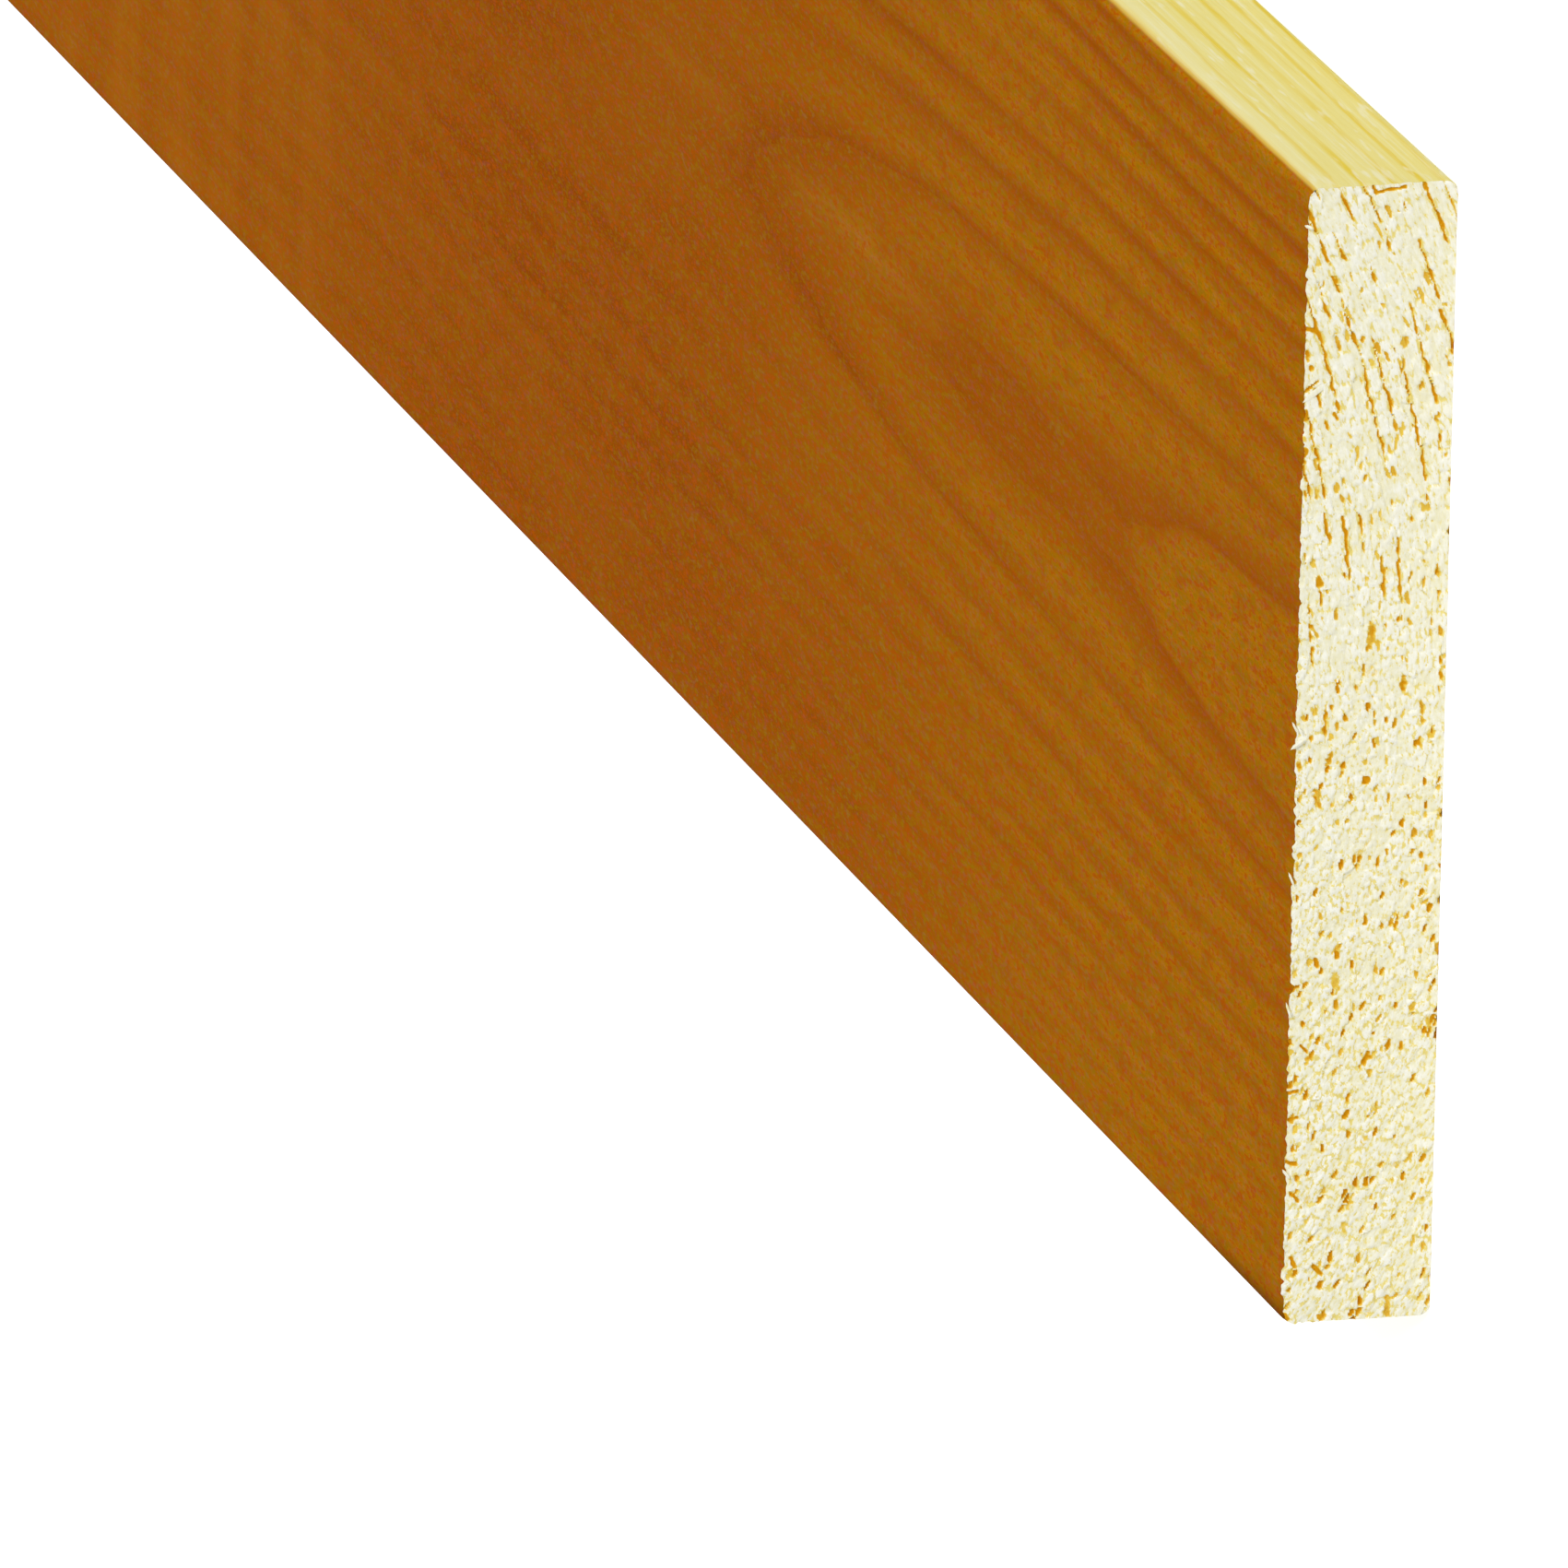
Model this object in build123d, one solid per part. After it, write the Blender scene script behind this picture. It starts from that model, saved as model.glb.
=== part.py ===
from build123d import *
import os

# Planed softwood board: one piece of solid timber, planed on all four long sides, with its
# long arrises eased, and cross-cut square at both ends.
# The board lies flat on its back face. X runs along the grain, Y across the width and Z up
# through the thickness. The origin is the centre of the back face.

# Driving dimensions, in millimetres.
BOARD_LENGTH = 2000.0
BOARD_WIDTH = 145.0
BOARD_THICKNESS = 19.0
ARRIS_RADIUS = 1.5


def planed_section():
    """The section that leaves the planer: a rectangle with its four corners rounded, standing on Z = 0."""
    middle = Plane.YZ.offset(-BOARD_LENGTH / 2) * Pos(0, BOARD_THICKNESS / 2)
    return middle * RectangleRounded(BOARD_WIDTH, BOARD_THICKNESS, ARRIS_RADIUS)


def planed_board():
    """The section run along the grain, from one square-cut end to the other."""
    board = extrude(planed_section(), amount=BOARD_LENGTH, dir=(1, 0, 0))
    board.label = "board"
    return board


os.makedirs("parts", exist_ok=True)
export_step(planed_board(), "parts/board.step")
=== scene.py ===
"""A planed softwood board lying on its back face, with brown wide faces, pale edges and rough-sawn ends.

The growth rings are worked out once, as distances from the tree's pith. The grain of the wide faces and
edges, and the cracks of the sawn ends, all come from them. Lengths are in millimetres until the mesh is
made. Places that the materials name are in metres.
"""

import math

import bpy
import numpy as np
from mathutils import Matrix, Vector


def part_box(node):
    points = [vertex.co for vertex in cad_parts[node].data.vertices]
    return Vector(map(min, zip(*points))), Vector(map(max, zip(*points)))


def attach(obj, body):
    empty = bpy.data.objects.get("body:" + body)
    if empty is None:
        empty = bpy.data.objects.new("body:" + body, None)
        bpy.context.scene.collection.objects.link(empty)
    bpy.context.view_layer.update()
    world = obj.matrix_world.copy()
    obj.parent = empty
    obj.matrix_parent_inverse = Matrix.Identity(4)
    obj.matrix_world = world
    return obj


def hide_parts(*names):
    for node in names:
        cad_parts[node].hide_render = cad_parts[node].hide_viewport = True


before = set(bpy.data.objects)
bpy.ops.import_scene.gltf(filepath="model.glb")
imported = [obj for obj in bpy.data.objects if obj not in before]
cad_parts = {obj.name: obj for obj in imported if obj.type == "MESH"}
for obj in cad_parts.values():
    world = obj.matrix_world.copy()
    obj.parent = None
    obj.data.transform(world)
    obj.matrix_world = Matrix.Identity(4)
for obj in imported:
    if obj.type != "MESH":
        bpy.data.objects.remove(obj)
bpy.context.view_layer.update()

METRE = 1000.0
BOARD_LOW, BOARD_HIGH = (np.array(corner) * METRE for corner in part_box("board"))
_, WIDTH, THICKNESS = BOARD_HIGH - BOARD_LOW
NEAR_END = BOARD_HIGH[0]
FAR_END = BOARD_LOW[0]
ARRIS_RADIUS = 1.5

# The mesh: its two materials' slots, and the angle in degrees under which faces are shaded as one.
SIDE, END = 0, 1
SMOOTH_ANGLE = 38.0

# What the materials read at each point: its ring, its distance from the pith and from the middle of the
# rings, how much of a wide face it is, and on the ends how much of a hole and of a gap it is, its fibre's
# own number and the count of fibres round the ring.
POINT_VALUES = ("ring", "radius", "middle", "wide", "open", "gap", "fibre", "count")

# Growth rings, read from the arches on the face in view, the lines on the edge and the cracks in the end.
# The pith runs over the board. It has climbed and drifted across by so much at each distance from the near
# end. The rings in the middle of the face follow its climb more closely than those outside.
PITH_HEIGHT = 140.0
FROM_END = (0, 38, 56, 68, 95, 125, 150, 165, 188, 218,
            241, 256, 294, 359, 450, 620, 900, 1300, 1700, 2000)
CLIMB = (0.35, 0.56, 0.82, 1.07, 1.05, 0.99, 1.01, 1.1, 1.58, 2.1,
         2.38, 2.5, 2.8, 3.4, 4.1, 5.5, 8.6, 12.0, 16.0, 18.5)
DRIFT_FROM_END = (0, 56, 100, 160, 256, 400, 2000)
DRIFT_ACROSS = (4.3, 5.5, 7.0, 7.8, 8.0, 7.5, 6.0)
OUTER_DRIFT = 1.3
SMOOTHING = (-1.0, -0.5, 0.0, 0.5, 1.0)
SMOOTH_MIDDLE = 6.0
SMOOTH_OUTSIDE = 60.0
MIDDLE_REACH = 30.0
FIRST_RING = -0.5
INNER_RING_WIDTHS = (1.6, 1.3, 1.75, 1.8, 2.1, 2.1, 2.0, 2.15, 2.1, 2.6, 3.1, 3.6, 3.3, 2.4)
OUTER_RING_WIDTHS = (2.9, 3.2, 2.4, 2.8, 3.1, 2.7)
RING_WIDTHS = INNER_RING_WIDTHS + 2 * OUTER_RING_WIDTHS

# Random fields. Each starts so far into its table that every index is positive. A start is in cells, apart
# from the tufts', which is in millimetres. Each field's seed, apart from the tears', is added to its end's.
NOISE_TABLE = 256
CELL_TABLE = 128
CELL_JITTER = (0.1, 0.9)
PLANE_START = (400, 100)
SWAY_START = (100, 100)
WANDER_START = (260, 60)
TUFT_START = (200, 50)
RUN_START = 60
BEAD_START = 160
LAYER_START = 300
NEAR_SEED = 11
FAR_SEED = 51
FLAKE_SEED = 1
CRACK_SEED = 2
PIT_SEED = 6
FRAY_SEED = 10
TORN_SEED = 12
SWAY_SEED = 20
TEAR_SEED = 91

# Grids of the two rough-sawn ends.
NEAR_STEP = 0.2
FAR_STEP = 0.75

# Torn fibres, and the flakes that they come away in. They are longest towards +Y. Here and in the next three
# groups, a pair is where a change has not begun and where it is complete, or the range of a random share.
FIBRE_WIDTH = 0.62
SHORT_FIBRE = 1.1
LONG_FIBRE = 1.7
LONG_FIBRE_SIDE = (-10, 45)
COUNT_PLACES = 1000
FIBRE_RELIEF = 0.08
FLAKE_WIDTH = 1.2
FIBRES_PER_FLAKE = 1.6
FLAKE_RELIEF = 0.19
FLAKE_SHARE = 0.6
SWAY = 0.5
SWAY_LENGTH = 3
TILT = 0.13
FIBRE_TILT = 0.6
TILT_ALONG = 0.6
TILT_TURNS = 40
CREVICE_DEPTH = 0.1
CREVICE_WIDTH = 0.22
CREVICED = (0.25, 0.7)
FIBRE_CREVICE = 0.7

# Cracks along the rings, most of them towards +Y. Their width has a least share, a share that each fibre
# changes and a share that the beads change.
CRACK_WIDTH = 0.28
CRACK_WIDTH_SHARES = (0.3, 0.4, 0.9)
CRACK_BEADS = (-0.5, 0.8)
CRACK_FLOOR = 0.3
CRACK_REACH = 0.8
CRACK_DEPTH = 0.24
CRACK_LENGTH = 4.5
CRACK_JAG = 0.5
CRACK_NEED = 0.7
CRACK_EASE = 1.1
CRACK_SIDE = (-15, 40)
CRACK_ONSET = 0.7
BEAD_LENGTH = 0.9
BEAD_PULL = 0.5
FIBRE_PULL = 0.9
WANDER = 0.16
WANDER_LENGTH = 0.7
RING_LANE = 7.3

# Holes left by pulled fibres, pits drawn out along the ring, tears, and the lips round them all.
PULLED_FIBRES = 0.075
PULLED_LESS = 0.6
PULLED_SIDE = (0.0, 40.0)
PULLED_RIM = (0.04, 0.32)
PULLED_DEPTH = 0.5
PULLED_BY_FIBRE = 9
PIT_COUNT = 190
PIT_LENGTH = 0.7
PIT_SPREAD = 0.45
PIT_SLENDER = (0.28, 0.6)
PIT_STRENGTH = (0.3, 1.0)
PIT_TURN = 0.3
PIT_REACH = 2
PIT_RIM = (-1.0, -0.35)
PIT_ROUGHNESS = 0.45
PIT_ROUGH_SIZE = 0.35
PIT_DEPTH = 0.28
TEAR_ROUGHNESS = 0.5
TEAR_ROUGH_SIZE = 0.4
TEAR_FLOOR = 0.4
LIP_HEIGHT = 0.08
LIP_TOP = 0.15
LIP_END = 0.4

# Tufts and notches round each end's outline, calmer towards the back face.
TUFT_LENGTH = 1.8
TUFT_HEIGHT = 0.55
TUFT_SLOPE = (0.0, 0.5)
TUFT_DIP = 0.4
TUFT_FINE = 0.2
FINE_PER_TUFT = 4
WILD_LEVEL = 0.65
WILD_SWING = 0.5
WILD_SIZE = 6
NOTCHED = (0.86, 0.9)
NOTCH_SLOPE = (0.1, 0.5)
NOTCH_RIM = (-0.9, -0.2)
NOTCH_DEPTH = 0.5
CALM_LEVEL = 0.25
CALM_HEIGHTS = (2.0, THICKNESS - 3.0)
FRAY_REACH = 2.0
TORN_SIZE = 0.5
TORN_LEVEL = 0.1

# Fibres torn loose at the near end: the places of each one's two tips, across, up and out, and its width.
SPLINTERS = (
    ((1.3, 19.7, 0.0), (2.7, 17.9, 0.45), 0.55),
    ((4.9, 19.6, 0.1), (3.3, 18.8, 0.35), 0.28),
    ((4.4, 18.9, 0.1), (3.2, 18.3, 0.40), 0.26),
    ((-14.3, 19.6, 0.1), (-16.1, 18.9, 0.35), 0.28),
    ((67.9, 19.5, 0.0), (67.5, 18.4, 0.45), 0.40),
    ((45.4, 19.2, -0.05), (47.8, 16.0, -0.1), 0.75),
    ((-31.0, 19.5, 0.0), (-33.0, 18.9, 0.35), 0.30),
    ((-52.4, 19.5, 0.1), (-53.6, 18.6, 0.40), 0.34),
)
SPLINTER_THICKNESS = 0.22
SPLINTER_WAIST = (0.25, 0.75)
SPLINTER_SHADE = 0.6

# Short tears in the near end: where each one starts and stops, across and up, and half its width.
TEARS = (
    ((72.4, 10.8), (71.5, 10.4), 0.30),
    ((71.5, 10.4), (72.0, 6.6), 0.26),
    ((54.7, 19.0), (54.3, 17.8), 0.32),
    ((46.6, 19.0), (48.0, 17.2), 0.22),
    ((-29.4, 19.0), (-29.2, 18.0), 0.34),
    ((-36.8, 17.4), (-37.6, 16.6), 0.36),
    ((-42.8, 19.0), (-42.6, 17.9), 0.36),
    ((-46.3, 18.8), (-46.0, 17.6), 0.32),
    ((-51.6, 18.9), (-52.0, 17.8), 0.36),
    ((-55.8, 18.2), (-56.8, 17.2), 0.34),
    ((-64.0, 18.0), (-65.2, 17.6), 0.38),
    ((-65.4, 15.0), (-66.2, 14.2), 0.42),
)

# Long sides. The stations are close where the photograph shows the grain. The back's arrises stay pale
# almost to the back face.
END_BANDS = (0.25, 0.5, 0.9, 1.6, 3.0)
NEAR_STATION = 5.0
NEAR_STRETCH = 290.0
FAR_STATION = 27.0
FLAT_STEP = 4.5
ARRIS_STEPS = 4
ARRIS_MARGIN = 0.4
BACK_FACE_ONLY = (0.95, 1.0)

# Colours, as a screen shows them, from 0 to 255. Near and distant are places along the wide face.
EARLY_BROWN = (164, 83, 1)
NEAR_EARLY_BROWN = (190, 122, 2)
DISTANT_EARLY_BROWN = (174, 97, 4)
LATE_BROWN = (139, 50, 0)
NEAR_LATE_BROWN = (158, 61, 0)
STREAK_BROWN = (204, 140, 40)
FIBRE_BROWN = (150, 74, 0)
CLOUD_BROWN = (184, 114, 18)
BLOT_BROWN = (168, 96, 12)
SPECK_RED = (185, 88, 2)
SPECK_OLIVE = (166, 117, 2)
# Painted sheen, lighter where the planer's faint ripple catches the light.
RIPPLE_SHEEN_BROWN = (198, 124, 26)
# Painted shade, darkening the wide face by the -Y arris at the near end.
CORNER_SHADE_BROWN = (96, 44, 0)
EDGE_CREAM = (241, 228, 146)
EDGE_LINE = (236, 209, 72)
EDGE_PALE_FIBRE = (246, 240, 196)
EDGE_GOLD_FIBRE = (236, 214, 104)
EDGE_FLECK = (248, 244, 212)
# A painted highlight along the edge by the front arris.
EDGE_HIGHLIGHT = (247, 240, 190)
ARRIS_GOLD = (224, 180, 58)
END_CREAM = (242, 238, 206)
# Whiter fibres on the ends: partly their own tone, partly painted highlight.
END_WHITE_AND_HIGHLIGHT = (251, 250, 238)
END_CLOUD = (244, 238, 200)
# Yellow dashes along the fibres, and painted shade in the gaps between flakes.
END_DASH_AND_SHADE = (237, 217, 116)
# Painted shade in the ends' holes, cracks and notches: golden at the rim, amber deeper in.
HOLE_RIM_SHADE = (236, 204, 84)
HOLE_AMBER_SHADE = (216, 150, 14)

# Noise in the materials: waves to a metre along the board and across it, detail and roughness. On the ends,
# they are waves to a millimetre from the pith and to a fibre round the ring.
WOBBLE_NOISE = (9.0, 120.0, 3.0, 0.5)
PATCH_NOISE = (7.0, 45.0, 2.0, 0.5)
STREAK_NOISE = (20.0, 200.0, 2.0, 0.5)
FIBRE_NOISE = (35.0, 1500.0, 4.0, 0.65)
SPECK_NOISE = (620.0, 1500.0, 3.0, 0.65)
BLOT_NOISE = (150.0, 380.0, 3.0, 0.6)
CLOUD_NOISE = (12.0, 60.0, 2.0, 0.5)
GRIT_NOISE = (700.0, 1700.0, 2.0, 0.6)
RIPPLE_NOISE = (60.0, 18.0, 2.0, 0.5)
LINE_NOISE = (40.0, 300.0, 2.0, 0.5)
FLECK_NOISE = (110.0, 800.0, 2.0, 0.5)
ARRIS_NOISE = (120.0, 900.0, 2.0, 0.5)
THREAD_NOISE = (2.1, 1.3, 2.0, 0.6)
END_CLOUD_NOISE = (0.35, 0.15, 2.0, 0.5)

# Smooth changes in the materials: two readings, and what the change is worth at each. First the rings.
INNER_RINGS = (1.7, 2.6, 1.0, 0.0)
DARK_RINGS = (1.0, 2.5, 0.0, 1.0)
PATCH_RINGS = (1.0, 1.1, 0.7, 0.0)
THINNED_RINGS = (1.4, 1.9, 1.0, 0.0)
PAST_ARCH = (0.924, 0.94, 1.0, 0.0)
PAST_NECK = (0.893, 0.92, 1.0, 0.0)
RING_PATCHES = (0.35, 0.62, 0.4, 1.0)

# Then the brown wide faces.
STREAK_WIDTH = (1.0, 6.5, 1.0, 0.0)
NEAR_TONE = (0.67, 0.95, 0.0, 1.0)
DISTANT_TONE = (0.46, 0.64, 1.0, 0.0)
LATE_BELOW = (-0.072, -0.02, 0.26, 0.56)
LATE_ABOVE = (0.02, 0.05, 0.0, 0.18)
LATE_ALONG = (0.7, 0.86, 0.85, 1.0)
BROWN_FIBRES = (0.4, 0.65, 0.0, 0.3)
BROWN_CLOUDS = (0.35, 0.7, 0.0, 0.2)
BROWN_BLOTS = (0.48, 0.66, 0.0, 0.6)
RED_SPECKS = (0.5, 0.64, 0.0, 0.9)
OLIVE_SPECKS = (0.36, 0.5, 0.9, 0.0)
OLIVE_ALONG = (0.6, 0.95, 0.6, 1.0)
CALM_LATE_WOOD = (0.2, 0.9, 1.0, 0.35)
GRIT = (0.47, 0.74, 0.0, 1.0)
# Painted sheen on the planer's faint ripple, and where along the board it shows.
RIPPLE_SHEEN = (0.42, 0.72, 0.0, 0.24)
RIPPLE_FADE = (0.15, 0.42, 0.25, 1.0)
# Where the painted shade darkens the corner by the -Y arris at the near end.
CORNER_SHADE_ALONG = (0.95, 0.99, 0.0, 1.0)
CORNER_SHADE_ACROSS = (-0.0722, -0.0685, 0.7, 0.0)

# Then the pale edges and the arrises between.
BROKEN_LINES = (0.35, 0.65, 0.4, 0.95)
EDGE_LINES = (0.55, 1.0, 0.0, 1.0)
PALE_FIBRES = (0.3, 0.5, 0.6, 0.0)
GOLD_FIBRES = (0.52, 0.7, 0.0, 0.5)
EDGE_FLECKS = (0.58, 0.7, 0.0, 0.6)
# Where the painted highlight lies on the edge, by the front arris.
HIGHLIGHT_HEIGHT = (0.0138, 0.0172, 0.0, 0.4)
GOLD_ARRIS = (0.06, 0.26, 0.0, 0.85)
BROWN_ARRIS = (0.25, 0.55, 0.0, 1.0)

# Then the sawn ends.
# White on the fibres, partly their own tone and partly painted highlight.
WHITE_AND_HIGHLIGHT_THREADS = (0.5, 0.9, 0.0, 1.0)
CREAM_CLOUDS = (0.4, 0.75, 0.0, 0.4)
# Yellow dashes, more of them towards -Y, and painted shade in the gaps between flakes.
LOWER_DASHES_AND_SHADE = (-0.055, 0.03, 0.06, 0.0)
DASHES_AND_SHADE = (0.58, 0.76, 0.0, 0.9)
# Painted shade in the holes, cracks and notches, amber where they are deepest.
AMBER_HOLE_SHADE = (0.45, 0.9, 0.0, 1.0)
OPEN_HOLE_SHADE = (0.2, 0.5, 0.0, 1.0)

# How dark a growth ring is at each part of it, as it darkens, as it runs on into the next, and by the arch.
DARKENING = ((0.45, 0.0), (0.6, 0.2), (0.75, 0.5), (0.88, 0.9), (0.95, 1.0))
RUNNING_ON = ((0.0, 1.0), (0.06, 0.8), (0.14, 0.35), (0.24, 0.0))
ARCH_EDGE = ((0.86, 0.0), (0.93, 0.3), (1.0, 1.0))
RING_WOBBLE = 0.26
RING_SWING = 0.25
INNER_RUN_ON = 0.5
INNER_BOOST = 1.65
PATCH_THINNING = 0.4

# Two pale stretches along the middle of the rings: where each starts and ends, and its strength. The
# streak's width, offset and raggedness are in millimetres.
STREAKS = ((0.76, 0.856, 1.0), (0.692, 0.768, 0.65))
STREAK_FADE = 0.03
STREAK_OFFSET = 3.5
STREAK_RAGGED = 3.0
STREAK_STRENGTH = 0.34

# Other amounts in the materials. The blue grit is light that is added to the brown.
BLUE_GRIT = (0.0, 0.0, 0.026, 1.0)
NEAR_SLANT = 0.6
ARRIS_RAGGED = 0.1
LATE_RELIEF = -0.4
# On the ends: what each flake's own number adds to the white and painted highlight.
FIBRE_WHITE_AND_HIGHLIGHT = 0.35
# What the gaps between flakes add as painted shade.
GAP_SHADE = 0.22
RAGGED_HOLES = 0.5
PLANED_BUMP = {"Strength": 0.25, "Distance": 0.0002}
PLANED_SHEEN = {"Roughness": 0.75, "Specular_IOR_Level": 0.005}
SAWN_BUMP = {"Strength": 0.4, "Distance": 0.0003}
SAWN_SHEEN = {"Roughness": 0.9, "Specular_IOR_Level": 0.05}
WHITE = (1.0, 1.0, 1.0, 1.0)

# Camera, from the photograph: a long lens, turned so that the board's width stands upright in the picture.
PHOTO_PIXELS = 1701
FOCAL_PIXELS = 40000
SENSOR_WIDTH = 36.0
CAMERA_DIRECTION = Vector((0.919, 0.2892, 0.2679))
PICTURE_UP = Vector((-0.2832, 0.9571, -0.0619))
AIM = Vector((776.9, -69.1, 19.0))
CAMERA_DISTANCE = 4730.0

# Light and floor. The floor's size and its gap under the board are in metres.
SUN_DIRECTION = Vector((0.62, 0.52, 0.58))
SUN_LEVEL = 0.52
SUN_ANGLE = 25.0
SKY_LEVEL = 0.5
FLOOR_SIZE = 400.0
FLOOR_COLOUR = 0.9
FLOOR_LIFT = 0.62
FLOOR_GAP = 0.00001


# Random fields

def smooth_step(part):
    """0 to 1 as part goes from 0 to 1, level at both ends."""
    return part * part * (3 - 2 * part)


def smooth_noise(u, v, seed):
    """Smooth random values from -1 to 1 over a plane, with one new value per unit each way."""
    table = np.random.default_rng(seed).uniform(-1, 1, (NOISE_TABLE, NOISE_TABLE))
    column = np.floor(u).astype(int)
    row = np.floor(v).astype(int)
    across = smooth_step(u - column)
    along = smooth_step(v - row)
    columns = [(column + i) % NOISE_TABLE for i in (0, 1)]
    near = [table[i, row % NOISE_TABLE] for i in columns]
    far = [table[i, (row + 1) % NOISE_TABLE] for i in columns]
    first = near[0] + (near[1] - near[0]) * across
    second = far[0] + (far[1] - far[0]) * across
    return first + (second - first) * along


def plane_noise(y, z, size, seed, start=PLANE_START):
    """Smooth random values over a plane, with one new value per size each way."""
    return smooth_noise(y / size + start[0], z / size + start[1], seed)


def cells(u, v, seed):
    """The random cell that each point is in: its own random number, the offset from its middle, and how
    near the point is to the next cell, which is 0 on the line between them."""
    rng = np.random.default_rng(seed)
    jitter = rng.uniform(*CELL_JITTER, (2, CELL_TABLE, CELL_TABLE))
    number = rng.uniform(0, 1, (CELL_TABLE, CELL_TABLE))
    column = np.floor(u).astype(int)
    row = np.floor(v).astype(int)
    nearest = np.full(u.shape, np.inf)
    second = np.full(u.shape, np.inf)
    own = np.zeros(u.shape)
    offset = np.zeros((2,) + u.shape)
    for i in (-1, 0, 1):
        for j in (-1, 0, 1):
            a = (column + i) % CELL_TABLE
            b = (row + j) % CELL_TABLE
            du = u - (column + i + jitter[0, a, b])
            dv = v - (row + j + jitter[1, a, b])
            distance = np.hypot(du, dv)
            closer = distance < nearest
            second = np.where(closer, nearest, np.minimum(second, distance))
            nearest = np.where(closer, distance, nearest)
            own = np.where(closer, number[a, b], own)
            offset = np.where(closer, np.stack([du, dv]), offset)
    return own, offset, second - nearest


def fade(value, none, full):
    """0 where value is at none, 1 where it is at full, and a smooth step between."""
    return smooth_step(np.clip((value - none) / (full - none), 0, 1))


# Growth rings

def climb(from_end, reach):
    """How far the pith has climbed at each place, smoothed over a reach each way."""
    return np.mean([np.interp(from_end + reach * part, FROM_END, CLIMB) for part in SMOOTHING], axis=0)


def ring_place(x, y, z):
    """Each point's distance from the pith, past the pith's height, and how far round the ring it is."""
    from_end = NEAR_END - x
    across = y - np.interp(from_end, DRIFT_FROM_END, DRIFT_ACROSS)
    outside = fade(np.abs(across), 0.0, MIDDLE_REACH)
    rise = climb(from_end, SMOOTH_MIDDLE) * (1 - outside) + climb(from_end, SMOOTH_OUTSIDE) * outside
    across = across - OUTER_DRIFT * outside
    up = PITH_HEIGHT + THICKNESS - z + rise
    return np.hypot(across, up) - PITH_HEIGHT, np.arctan2(across, up) * PITH_HEIGHT


def ring_number(radius):
    """Which growth ring each distance is in. A ring ends, in its dark late wood, at each whole number."""
    ends = FIRST_RING + np.concatenate([[0.0], np.cumsum(RING_WIDTHS)])
    return np.interp(radius, ends, np.arange(len(ends)))


# Sawn ends

def section_grid(step):
    """A grid over the section, with its corners drawn in to the arris radius."""
    columns = round(WIDTH / step)
    rows = round(THICKNESS / step)
    y, z = np.meshgrid(np.linspace(-WIDTH / 2, WIDTH / 2, columns + 1), np.linspace(0, THICKNESS, rows + 1))
    across = (np.abs(y) - (WIDTH / 2 - ARRIS_RADIUS)) / ARRIS_RADIUS
    up = (np.abs(z - THICKNESS / 2) - (THICKNESS / 2 - ARRIS_RADIUS)) / ARRIS_RADIUS
    corner = (across > 0) & (up > 0)
    round_across = across * np.sqrt(np.where(corner, 1 - up ** 2 / 2, 1))
    round_up = up * np.sqrt(np.where(corner, 1 - across ** 2 / 2, 1))
    y = np.where(corner, np.sign(y) * (WIDTH / 2 + (round_across - 1) * ARRIS_RADIUS), y)
    middle = THICKNESS / 2
    z = np.where(corner, middle + np.sign(z - middle) * (middle + (round_up - 1) * ARRIS_RADIUS), z)
    return y, z


def depth_inside(y, z):
    """How far each point of the section is from the section's outline, and the outline's way out there."""
    corner_y = WIDTH / 2 - ARRIS_RADIUS
    corner_z = THICKNESS / 2 - ARRIS_RADIUS
    past_y = np.abs(y) - corner_y
    past_z = np.abs(z - THICKNESS / 2) - corner_z
    in_corner = (past_y > 0) & (past_z > 0)
    reach = np.where(in_corner, np.hypot(past_y, past_z), np.maximum(past_y, past_z))
    side = past_y > past_z
    way_y = np.where(in_corner, past_y, np.where(side, 1.0, 0.0)) * np.sign(y)
    way_z = np.where(in_corner, past_z, np.where(side, 0.0, 1.0)) * np.sign(z - THICKNESS / 2)
    size = np.hypot(way_y, way_z)
    size = np.where(size > 0, size, 1.0)
    return ARRIS_RADIUS - reach, way_y / size, way_z / size


def fray(y, z, seed):
    """How far torn tufts stand out from the outline, or go in, where the saw left each long side. Also
    returns how much of a notch each point is in."""
    start_y, start_z = TUFT_START
    own, _, gap = cells((y + start_y) / TUFT_LENGTH, (z + start_z) / TUFT_LENGTH, seed)
    fine = plane_noise(y, z, TUFT_LENGTH / FINE_PER_TUFT, seed + 1)
    wild = WILD_LEVEL + WILD_SWING * plane_noise(y, z, WILD_SIZE, seed + 2)
    tuft = TUFT_HEIGHT * (own * fade(gap, *TUFT_SLOPE) - TUFT_DIP + TUFT_FINE * fine) * wild
    notch = fade(own, *NOTCHED) * fade(gap, *NOTCH_SLOPE)
    calm = CALM_LEVEL + (1 - CALM_LEVEL) * fade(z, *CALM_HEIGHTS)
    return (tuft - NOTCH_DEPTH * notch) * calm, notch * calm


def push_out(y, z, ways, edge):
    """The section's points moved out by edge, though never through the floor."""
    return y + ways[0] * edge, np.maximum(z + ways[1] * edge, 0.0)


def both_layers(flake, fibre):
    """One number for the flake and the fibre that a point is in."""
    return FLAKE_SHARE * flake + (1 - FLAKE_SHARE) * fibre


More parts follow.
